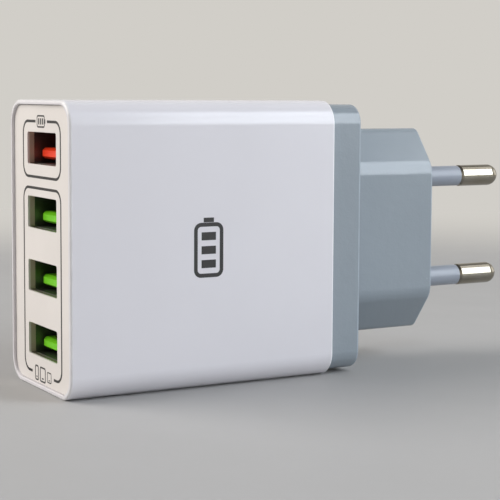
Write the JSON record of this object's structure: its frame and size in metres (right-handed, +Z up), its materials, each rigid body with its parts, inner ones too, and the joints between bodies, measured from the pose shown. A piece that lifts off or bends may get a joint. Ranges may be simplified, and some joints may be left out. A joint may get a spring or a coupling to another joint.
{
  "type": "usb wall charger",
  "caption": "Flat white wall charger with a row of USB sockets in one narrow end and a grey two-pin plug boss at the other, standing on its side.",
  "frame": {"origin": "on the floor, under the middle of the whole charger's box", "axes": "+X from the port panel to the pin tips, +Y across the housing's thickness, +Z up, with the charger standing on a narrow side of its sleeve"},
  "size_m": [0.0942, 0.026, 0.0476],
  "materials": {
    "housing_white": "moulded white, high gloss",
    "panel_white": "moulded warm white, gloss",
    "cap_grey": "moulded blue grey, gloss",
    "collar_grey": "moulded lilac grey, satin",
    "pin_nickel": "nickel plated, polished",
    "shell_steel": "tinned sheet steel",
    "tongue_red": "moulded orange red",
    "tongue_green": "moulded bright green",
    "contact_gold": "gold flashed",
    "board_green": "solder mask",
    "core_ferrite": "sintered ferrite",
    "bobbin_black": "moulded",
    "winding_tape": "yellow polyester tape",
    "winding_copper": "enamelled copper",
    "can_sleeve": "printed film over an aluminium can",
    "package_black": "moulded epoxy",
    "fuse_brown": "moulded cap",
    "disc_blue": "dipped epoxy",
    "wire_brass": "tinned brass strip"
  },
  "bodies": {
    "root": {"bridge_rectifier": "package_black", "bulk_capacitor_lower": "can_sleeve", "bulk_capacitor_upper": "can_sleeve", "filter_choke_core": "core_ferrite", "filter_choke_winding": "winding_copper", "front_panel": "panel_white", "housing_sleeve": "housing_white", "inlet_fuse": "fuse_brown", "main_board": "board_green", "optocoupler": "package_black", "output_capacitor_lower": "can_sleeve", "output_capacitor_upper": "can_sleeve", "output_rectifier": "package_black", "pin_collar_lower": "collar_grey", "pin_collar_upper": "collar_grey", "pin_wire_lower": "wire_brass", "pin_wire_upper": "wire_brass", "plug_pin_lower": "pin_nickel", "plug_pin_upper": "pin_nickel", "port_controller": "package_black", "rear_cap": "cap_grey", "safety_capacitor": "disc_blue", "switching_controller": "package_black", "transformer_bobbin": "bobbin_black", "transformer_core_lower": "core_ferrite", "transformer_core_upper": "core_ferrite", "transformer_winding": "winding_tape", "usb_board": "board_green", "usb_contacts_1": "contact_gold", "usb_contacts_2": "contact_gold", "usb_contacts_3": "contact_gold", "usb_contacts_4": "contact_gold", "usb_shell_1": "shell_steel", "usb_shell_2": "shell_steel", "usb_shell_3": "shell_steel", "usb_shell_4": "shell_steel", "usb_tongue_1": "tongue_red", "usb_tongue_2": "tongue_green", "usb_tongue_3": "tongue_green", "usb_tongue_4": "tongue_green"}
  },
  "joints": []
}
